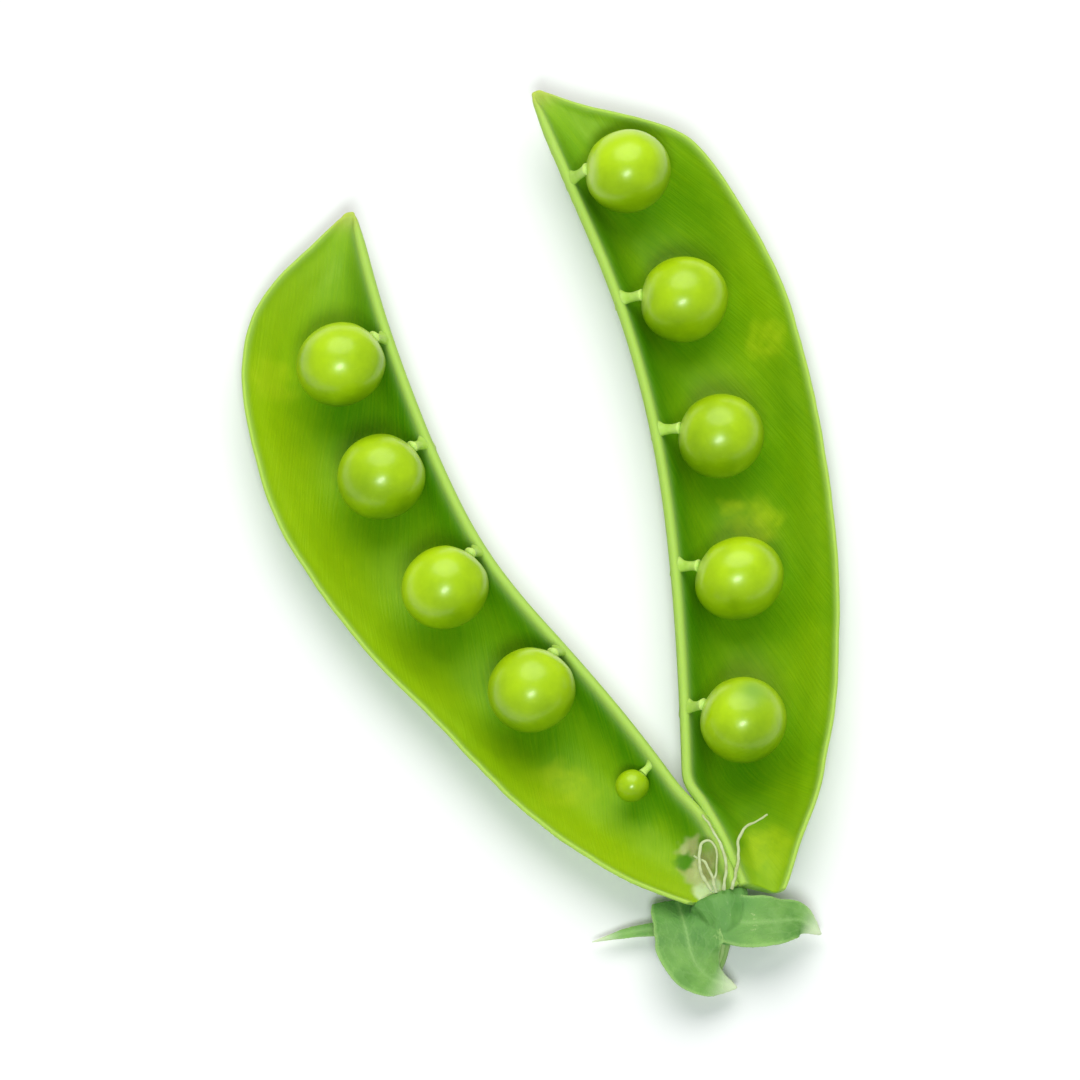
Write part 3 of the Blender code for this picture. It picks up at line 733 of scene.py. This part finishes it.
    # painted shade below each pea, moved towards the stalk end, away from the top lamp
    paintedPeaShades = [bell(np.hypot(rings[..., 0] - pea[0], rings[..., 1] - pea[1] + marks["paintedPeaShadeDrop"]),
                 marks["bed"] * size.mean()) for pea, size in map(peaOf, form["peas"])]
    fading = np.minimum(seamAway * marks["seamFade"], backAway * marks["backFade"])
    masks = {
        "lie": np.dstack([baseAway, seamAway, even * (marks["lieShift"] * form["side"]) + inner]),
        "inner": even * inner,
        "rim": np.maximum(bell(fading, marks["rim"]), onRim),
        "cord": bell(seamAway, marks["cord"]),
        # painted shade on the steep wall beside the seam
        "seamStrip": bell(seamAway - marks["seamStripAt"], marks["seamStrip"]) * slim,
        "bed": np.max(paintedPeaShades, axis=0),
        # painted light on the inside's back slope
        "dorsal": form["backPaintedLight"] * ease((across - marks["dorsalFrom"]) / marks["dorsalEase"]),
        "tipEnd": bell(tipAway, marks["tipEnd"]),
        "stalkEnd": bell(baseAway, marks["stalkEnd"]),
        "tipDry": bell(tipAway, marks["tipDry"]),
        **{spots: spotMask(rings, form.get(spots, ())) * inner for spots in marks["spots"]},
    }

    # the rounded beak, pressed flat on the table below
    last = rings[-1]
    centre = last.mean(axis=0)
    ahead = toUnit(centre - rings[-pod["beakRows"]].mean(axis=0))
    extra = np.stack([centre + (last - centre) * r + ahead * d for r, d in pod["beak"]])
    rings = np.concatenate([rings, extra])
    masks = {k: np.concatenate([m, np.repeat(m[-1:], len(extra), axis=0)]) for k, m in masks.items()}
    rings[0, :, 1] = pod["gap"] - corner[0, byColumn]
    rings[..., 2] = np.maximum(rings[..., 2], 0)
    return makeLoft(name + "Valve", rings, podWallFinish, masks, ["valve_" + name])


rightValve = makeValve("right")
leftValve = makeValve("left")
print("valves made:", len(rightValve.data.polygons) + len(leftValve.data.polygons), "faces")


# Peas

peaForm = {
    "cuts": 6, "swell": (1.035, 0.975, 1.01), "uneven": 0.012, "flat": 0.03, "radicle": 0.012,
    "bumps": (0.9, 0.4, 0.45),  # coarse size in pea radii, then share and size of the fine ones
    "tone": 0.16, "toneSpread": 0.2, "toneTurn": 0.37,  # darkest pea, and how the peas differ in tone
    "paler": (0.0, 0.26, 0.26),  # painted light: how much paler the skin gets towards the pod's tip and the top, the sides facing the top lamp
    "stalkLead": 0.45, "stalkRise": 0.35,  # where the stalk holds the pea: tipward and up, in pea radii
    "scarFrom": 0.86, "scarEdge": 0.1,  # the scar, by the cosine of the angle from the stalk
    "flatFrom": 0.8, "flatEdge": 0.2, "radicleReach": 0.35, "radicleDrop": 1.3,
    "dullPea": "pea_right_1", "dullSpot": (0.35, 0.3, 0.88), "dullReach": 0.36, "dullDepth": 0.03,
}


def seedScarOf(nodeName, sideForm):
    # the pea's stalk end: towards the seam, a little tipward and up
    lines = valveLines(sideForm)
    middle, half = peaOf(nodeName)
    gaps = np.linalg.norm(lines["edge"] - middle[:2], axis=1)
    arc = lines["arc"][gaps.argmin()] + peaForm["stalkLead"] * half.mean()
    spot = [np.interp(arc, lines["arc"], line) for line in lines["edge"].T]
    root = np.array([*spot, pod["rimHeight"]])
    towards = toUnit(np.array([*root[:2], middle[2] + peaForm["stalkRise"] * half.mean()]) - middle)
    return root, towards, middle, half


def nameFor(first, nodeName):
    return first + "".join(word.capitalize() for word in nodeName.split("_")[1:])


def makePea(nodeName, sideForm, number):
    _, towards, middle, half = seedScarOf(nodeName, sideForm)
    form = peaForm
    sphere = bmesh.new()
    bmesh.ops.create_icosphere(sphere, subdivisions=form["cuts"], radius=1)
    ball = np.array([v.co for v in sphere.verts])
    faces = [tuple(v.index for v in f.verts) for f in sphere.faces]
    sphere.free()
    coarse, fineShare, fine = form["bumps"]
    bumps = wander(ball, coarse, number) + fineShare * wander(ball, fine, number + 20)
    facing = ball @ towards
    flatness = ease((facing - form["flatFrom"]) / form["flatEdge"])
    radius = 1 + form["uneven"] * bumps - form["flat"] * flatness
    beside = toUnit(towards - (0, 0, form["radicleDrop"]))
    away = np.arccos(np.clip(ball @ beside, -1, 1))
    radius = radius + form["radicle"] * bell(away, form["radicleReach"])
    dull = np.zeros(len(ball))
    if nodeName == form["dullPea"]:
        away = np.arccos(np.clip(ball @ toUnit(np.array(form["dullSpot"])), -1, 1))
        dull = bell(away, form["dullReach"])
        radius = radius - form["dullDepth"] * dull
    points = ball * radius[:, None] * half * form["swell"] + middle
    tone = form["tone"] + form["toneSpread"] * (number * form["toneTurn"] % 1)
    # each pea's own tone plus painted light towards the top lamp
    masks = {"tone": tone + ball @ form["paler"],
             "seedScar": ease((facing - form["scarFrom"]) / form["scarEdge"]), "dull": dull}
    return makePiece(nameFor("pea", nodeName), points + joinPoint, faces, peaFinish, masks, [nodeName])


peaPlaces = [(nodeName, form) for form in valveForms.values() for nodeName in form["peas"]]
for number, (nodeName, form) in enumerate(peaPlaces, 1):
    makePea(nodeName, form, number)
print("peas made:", len(peaPlaces))


# The peas' stalks, flared where they leave the seam cord and where they hold the pea

funicleForm = {
    "wide": ((0, 1.25), (0.2, 0.95), (0.45, 0.6), (0.7, 0.5), (0.9, 0.55), (1, 0.64)),
    "tall": ((0, 0.5), (0.2, 0.45), (0.45, 0.4), (0.75, 0.42), (1, 0.52)),
    "sag": 0.2, "rings": 26, "around": 20,
    "sink": 0.45,  # how deep it starts in the seam
    "reach": 0.99,  # where it ends, in pea radii from the pea's middle
    "slightest": 0.55, "uneven": 0.04, "bumpSize": 0.7, "flareRise": 2.6, "flareFrom": 0.3,
}


def tubeRings(path, wide, tall, around, ridges=0, ridgeDepth=0.0):
    tangent = toUnit(np.gradient(path, axis=0))
    level = toUnit(np.cross(tangent, (0.0, 0.0, 1.0)))
    lifted = np.cross(level, tangent)
    turn = np.linspace(0, 2 * math.pi, around, endpoint=False)
    swell = 1 + ridgeDepth * np.cos(ridges * turn)
    return (path[:, None] + (wide[:, None] * np.cos(turn) * swell)[..., None] * level[:, None]
            + (tall[:, None] * np.sin(turn) * swell)[..., None] * lifted[:, None])


def tubeLie(path, around, girth, seed):
    turn = np.linspace(0, 2 * math.pi, around, endpoint=False)
    run = runAlong(path)[:, None] * np.ones(around)
    return np.dstack([run, np.cos(turn) * girth + 0 * run, seed + np.sin(turn) * girth + 0 * run])


def makeFunicle(nodeName, sideForm, number):
    form = funicleForm
    root, towards, middle, half = seedScarOf(nodeName, sideForm)
    least = form["slightest"]
    size = min(1.0, least + (1 - least) * half.mean() / pod["fullPea"])
    end = middle + towards * half.mean() * form["reach"]
    start = root - toUnit(end - root) * form["sink"]
    between = (start + end) / 2 - (0, 0, form["sag"])
    path = curveThrough((start, between, end), form["rings"])
    share = np.linspace(0, 1, form["rings"])
    wide = smoothThrough(form["wide"], share) * size
    tall = smoothThrough(form["tall"], share) * size
    rings = tubeRings(path, wide, tall, form["around"])
    bumps = form["uneven"] * wander(rings, form["bumpSize"], number)
    rings = rings + bumps[..., None] * toUnit(rings - path[:, None])
    masks = {"lie": tubeLie(path, form["around"], girth=0.4, seed=number),
             "flare": ease(np.abs(share - 0.5) * form["flareRise"] - form["flareFrom"])}
    return makeLoft(nameFor("funicle", nodeName), rings, funicleFinish, masks)


for number, (nodeName, form) in enumerate(peaPlaces, 1):
    makeFunicle(nodeName, form, number)
print("pea stalks made:", len(peaPlaces))


# Calyx: the cup and its five sepals

calyxForm = {
    "sepals": {
        "front": (((-4.3, 1.9, 2.6), (-4.8, -1.8, 4.2), (-5.2, -5.0, 4.3), (-4.2, -7.1, 3.2),
                   (-1.9, -8.4, 2.0)), 6.5),
        "right": (((-1.4, -1.9, 4.4), (0.8, -3.3, 4.7), (3.6, -4.1, 4.4), (6.1, -4.5, 3.4),
                   (7.7, -6.1, 2.2)), 5.4),
        "left": (((-1.6, -1.6, 3.2), (-5.4, -0.5, 2.2), (-9.4, 0.6, 1.8), (-13.5, 1.1, 1.6)), 1.5),
        "under_right": (((0.4, -1.2, 3.6), (2.0, -2.4, 2.2), (2.8, -3.6, 1.3), (3.2, -4.8, 0.9)), 3.6),
        "under_left": (((-1.6, -1.1, 3.3), (-3.8, -1.45, 1.95), (-5.4, -1.9, 1.2), (-6.9, -2.6, 0.9)), 3.0),
    },
    "outline": ((0, 0.78), (0.16, 0.94), (0.38, 1), (0.7, 0.72), (0.9, 0.28), (1, 0.04)),
    "rows": 70, "columns": 28,
    "fold": 0.18, "foldCurve": 1.4, "ruffle": 0.16, "ruffleSize": 1.5, "ragged": 0.07, "raggedCount": 9,
    "thick": 0.5, "thinEdge": 0.45, "thinTip": 0.4, "midrib": 0.1, "midribWidth": 0.14, "groove": 0.5,
    "midribMark": 0.22, "marginFrom": 0.86, "tipFrom": 0.72, "tipEase": 0.26,
    "shadeTo": 0.5, "shadeSlant": 0.12,
    "cupRings": 40, "cupAround": 80, "cupRibs": 10, "cupRibDepth": 0.025, "cupShade": 0.7,
    "cup": ((-0.7, 0.4, 4.1), (-0.7, -0.2, 4.1), (-0.8, -1.2, 4.2), (-1.2, -2.6, 3.9), (-2.0, -3.7, 3.1)),
    "cupWide": ((0, 2.6), (0.12, 2.9), (0.35, 2.8), (0.72, 1.9), (1, 1.25)),
    "cupTall": ((0, 1.3), (0.12, 1.5), (0.35, 1.6), (0.72, 1.5), (1, 1.2)),
    "voxel": 0.11,
}


def makeSepal(centreline, widest, seed):
    form = calyxForm
    path = curveThrough(centreline, form["rows"] + 1)
    share = np.linspace(0, 1, form["rows"] + 1)
    half = smoothThrough(form["outline"], share) * widest / 2
    v = np.linspace(-1, 1, form["columns"] + 1)
    level = toUnit(np.cross(toUnit(np.gradient(path, axis=0)), (0.0, 0.0, 1.0)))
    ragged = wander(np.stack([share * form["raggedCount"], share * 0, share * 0], 1), 1.0, seed)
    ragged = 1 + form["ragged"] * ragged
    grid = path[:, None] + level[:, None] * ((half * ragged)[:, None] * v)[..., None]
    ruffle = form["ruffle"] * wander(grid, form["ruffleSize"], seed + 3) * v ** 2 * half.clip(0, 1)[:, None]
    grid[..., 2] += form["fold"] * half[:, None] * np.abs(v) ** form["foldCurve"] + ruffle
    normal = normalsOf(grid)
    normal = normal * np.sign(normal[..., 2:3] + 1e-9)
    share = share[:, None]
    rib = form["midrib"] * bell(v, form["midribWidth"]) * (1 - share)
    thick = form["thick"] / 2 * (1 - form["thinEdge"] * np.abs(v) ** 3) * (1 - form["thinTip"] * share)
    upper = grid + normal * (thick - rib * form["groove"])[..., None]
    lower = grid - normal * (thick + rib)[..., None]
    rings = np.concatenate([upper, lower[:, ::-1]], axis=1)
    across = half[:, None] * v
    even = 0 * across
    masks = {"lie": np.dstack([runAlong(path)[:, None] + even, np.abs(across), even + seed]),
             "midrib": bell(across, form["midribMark"]),
             "margin": ease((np.abs(v) + even - form["marginFrom"]) / (1 - form["marginFrom"])),
             "tipEnd": ease((share + even - form["tipFrom"]) / form["tipEase"]),
             "shade": ease(1 - (share + form["shadeSlant"] * v) / form["shadeTo"])}
    return rings, {k: np.concatenate([m, m[:, ::-1]], axis=1) for k, m in masks.items()}


def makeCalyx():
    # the sepals and the cup are grown together by remeshing them as one skin
    form = calyxForm
    parts = [makeSepal(line, width, seed) for seed, (line, width) in enumerate(form["sepals"].values())]
    share = np.linspace(0, 1, form["cupRings"])
    path = curveThrough(form["cup"], form["cupRings"])
    cup = tubeRings(path, smoothThrough(form["cupWide"], share), smoothThrough(form["cupTall"], share),
                    form["cupAround"], form["cupRibs"], form["cupRibDepth"])
    flat = 0 * cup[..., 0]
    parts.append((cup, {"lie": tubeLie(path, form["cupAround"], girth=2.0, seed=9.0), "midrib": flat,
                        "margin": flat, "tipEnd": flat, "shade": flat + form["cupShade"]}))
    points = np.concatenate([rings.reshape(-1, 3) for rings, _ in parts])
    faces, first = [], 0
    for rings, _ in parts:
        faces += [tuple(first + i for i in face) for face in loftFaces(*rings.shape[:2])]
        first += rings.shape[0] * rings.shape[1]
    draft = makePiece("calyxSkin", points + joinPoint, faces, calyxFinish, {}, ["calyx"])
    fuse = draft.modifiers.new("grown together", "REMESH")
    fuse.mode, fuse.voxel_size = "VOXEL", form["voxel"] * mm
    relax = draft.modifiers.new("relaxed", "SMOOTH")
    relax.factor, relax.iterations = 0.5, 4
    bpy.context.view_layer.update()
    evaluated = draft.evaluated_get(bpy.context.evaluated_depsgraph_get())
    mesh = bpy.data.meshes.new_from_object(evaluated)
    draft.modifiers.clear()
    draft.data = mesh
    mesh.shade_smooth()

    # each new point takes its masks from the nearest old one
    tree = KDTree(len(points))
    for i, point in enumerate(points + joinPoint):
        tree.insert(point * mm, i)
    tree.balance()
    nearest = np.array([tree.find(v.co)[1] for v in mesh.vertices])
    for maskName in parts[0][1]:
        values = [masks[maskName] for _, masks in parts]
        giveMask(mesh, maskName, np.concatenate([v.reshape(-1, *v.shape[2:]) for v in values])[nearest])
    return draft


calyx = makeCalyx()
print("calyx made:", len(calyx.data.polygons), "faces")


# The short stalk, with ribs along it and a ragged end

stalkForm = {
    "path": ((-1.85, -3.4, 3.3), (-2.25, -4.1, 2.84), (-2.8, -4.95, 2.1), (-3.8, -5.9, 1.4),
             (-5.0, -6.8, 1.0)),
    "girth": ((0, 1.15), (0.25, 1.1), (0.5, 0.95), (1, 0.85)),
    "rings": 90, "around": 60, "ribs": 7, "ribDepth": 0.05,
    "cutEnd": ((0.9, 0.0), (0.7, -0.12), (0.4, -0.2), (0.12, -0.1)),  # size and place of its last rings
    "ragged": 0.175, "raggedSize": 0.35, "raggedRings": 6, "aboveTable": 0.02,
}


def makeStalk():
    form = stalkForm
    path = curveThrough(form["path"], form["rings"])
    share = np.linspace(0, 1, form["rings"])
    girth = smoothThrough(form["girth"], share)
    rings = tubeRings(path, girth, girth, form["around"], form["ribs"], form["ribDepth"])
    ahead = toUnit(path[-1] - path[-2])
    centre = path[-1]
    ends = [centre + (rings[-1] - centre) * size + ahead * sink for size, sink in form["cutEnd"]]
    rings = np.concatenate([rings, np.stack(ends)])
    tail = rings[-form["raggedRings"]:]
    tail += form["ragged"] * wander(tail, form["raggedSize"], 3)[..., None] * ahead
    rings[..., 2] = np.maximum(rings[..., 2], form["aboveTable"])
    wholePath = np.concatenate([path, [centre] * len(ends)])
    masks = {"lie": tubeLie(wholePath, form["around"], girth=1.0, seed=2.0),
             "cut": np.r_[np.zeros(form["rings"] - 1), 0.6, np.ones(len(ends))]}
    return makeLoft("stalk", rings, stalkFinish, masks, ["pedicel"])


makeStalk()
print("stalk made")


# Withered threads of the flower, left where the valves meet

threadForm = {
    "paths": {
        "threadRidge": (
            (-0.1, 0.2, 5.9), (0.2, 0.9, 6.4), (0.9, 2.3, 6.7), (1.1, 4.4, 6.8), (0.9, 6.3, 6.7),
            (0.6, 8.0, 6.5)),
        "threadRight": (
            (0.6, 0.0, 5.9), (1.0, 0.5, 6.3), (2.0, 2.0, 6.6), (3.0, 4.4, 6.7), (4.1, 5.4, 6.5),
            (5.2, 5.6, 6.3), (6.6, 6.0, 6.2)),
        "threadLoop": (
            (-1.2, 0.6, 5.6), (-1.6, 2.4, 6.2), (-1.3, 3.9, 6.6), (-0.5, 5.2, 6.7), (0.3, 5.1, 6.7),
            (0.5, 4.1, 6.6), (0.1, 2.7, 6.4), (-0.6, 1.5, 6.1)),
        "threadLeft": ((-0.9, 0.3, 5.6), (-0.7, 1.8, 6.1), (-0.9, 3.4, 6.2), (-1.6, 4.6, 5.7)),
    },
    "radius": 0.18, "tip": 0.1, "rings": 70, "around": 10,
    "stray": 0.1, "straySize": 0.8, "lumps": 0.3, "lumpSize": 0.5, "flatness": 0.7,
}


def makeThread(name, points, seed):
    form = threadForm
    path = curveThrough(points, form["rings"])
    stray = np.stack([wander(path, form["straySize"], seed + k) for k in (1, 2, 3)], 1)
    path = path + form["stray"] * stray
    share = np.linspace(0, 1, form["rings"])
    radius = form["radius"] + (form["tip"] - form["radius"]) * share
    radius = radius * (1 + form["lumps"] * wander(path, form["lumpSize"], seed + 5))
    rings = tubeRings(path, radius, radius * form["flatness"], form["around"])
    lie = tubeLie(path, form["around"], girth=0.2, seed=seed)
    return makeLoft(name, rings, threadFinish, {"lie": lie})


for seed, (name, points) in enumerate(threadForm["paths"].items()):
    makeThread(name, points, seed + 11)
print("threads made")


# Floor, camera and light

floorLook = {"size": 3.0, "pale": (0.9, 0.905, 0.9, 1), "shade": (0.86, 0.865, 0.86, 1)}


def makeFloor():
    finish, tree = newMaterial("floorFinish", Specular_IOR_Level=0.2)
    cloud = useMask(tree, mottle, Patch_Size=0.4, Contrast=0.4, Shift=0.5)
    pale = mixColour(tree, cloud, floorLook["pale"], floorLook["shade"])
    endFinish(finish, pale, remap(tree, cloud, 0.7, 0.8))
    mesh = bpy.data.meshes.new("floor")
    half = floorLook["size"] / 2
    corners = [(-half, -half, 0), (half, -half, 0), (half, half, 0), (-half, half, 0)]
    mesh.from_pydata(corners, [], [(0, 1, 2, 3)])
    mesh.materials.append(finish)
    newObject("floor", mesh)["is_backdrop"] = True


cameraLook = {
    "azimuth": -20.2, "elevation": 68.0,  # the pod's length leans to the left in the picture
    "distance": 2.2, "sensor": 36.0, "fill": 0.84,  # share of the picture that the pod takes up
}


def directionFrom(azimuth, elevation):
    a, e = math.radians(azimuth), math.radians(elevation)
    return Vector((math.sin(a) * math.cos(e), -math.cos(a) * math.cos(e), math.sin(e)))


def newAimed(name, data, place, turn):
    made = newObject(name, data)
    made.location, made.rotation_mode, made.rotation_quaternion = place, "QUATERNION", turn
    return made


def makeCamera():
    look = cameraLook
    low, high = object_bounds()
    middle = (low + high) / 2
    back = directionFrom(look["azimuth"], look["elevation"])
    turn = back.to_track_quat("Z", "Y")
    across, up = turn @ Vector((1, 0, 0)), turn @ Vector((0, 1, 0))
    seen = np.array([((v.co - middle).dot(across), (v.co - middle).dot(up))
                     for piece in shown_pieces() if piece.type == "MESH" for v in piece.data.vertices])
    least, most = seen.min(axis=0), seen.max(axis=0)
    aim = middle + across * (least[0] + most[0]) / 2 + up * (least[1] + most[1]) / 2
    shown = (most - least).max() / look["fill"]
    camera = bpy.data.cameras.new("camera")
    camera.sensor_width = look["sensor"]
    camera.lens = look["sensor"] * look["distance"] / shown
    camera.clip_start, camera.clip_end = 0.01, 20.0
    bpy.context.scene.camera = newAimed("camera", camera, aim + back * look["distance"], turn)
    return aim


studio = {
    "sky": (0.97, 0.99, 1.0, 1), "skyStrength": 0.26,
    "lights": {  # azimuth, elevation, distance, width, height, roll, watts, colour
        "topPanel": (160.0, 58.0, 1.6, 1.9, 1.7, 0.0, 22.0, (1.0, 0.99, 0.96)),
        "frontLamp": (-20.0, 57.0, 2.4, 0.85, 0.5, 40.0, 30.0, (0.92, 1.0, 1.0)),
    },
}


def makeStudio(aim):
    scene = bpy.context.scene
    world = bpy.data.worlds.new("paleRoom")
    world.use_nodes = True
    sky = world.node_tree.nodes["Background"].inputs
    sky["Color"].default_value, sky["Strength"].default_value = studio["sky"], studio["skyStrength"]
    scene.world = world
    for name, (azimuth, elevation, distance, width, height, roll, watts, tint) in studio["lights"].items():
        lamp = bpy.data.lights.new(name, "AREA")
        lamp.shape, lamp.size, lamp.size_y, lamp.energy, lamp.color = "ELLIPSE", width, height, watts, tint
        back = directionFrom(azimuth, elevation)
        turn = back.to_track_quat("Z", "Y") @ Quaternion((0, 0, 1), math.radians(roll))
        newAimed(name, lamp, aim + back * distance, turn).visible_camera = False
    view = scene.view_settings
    view.view_transform, view.look, view.exposure = "Standard", "None", 0.0


makeFloor()
makeStudio(makeCamera())
print("studio made")
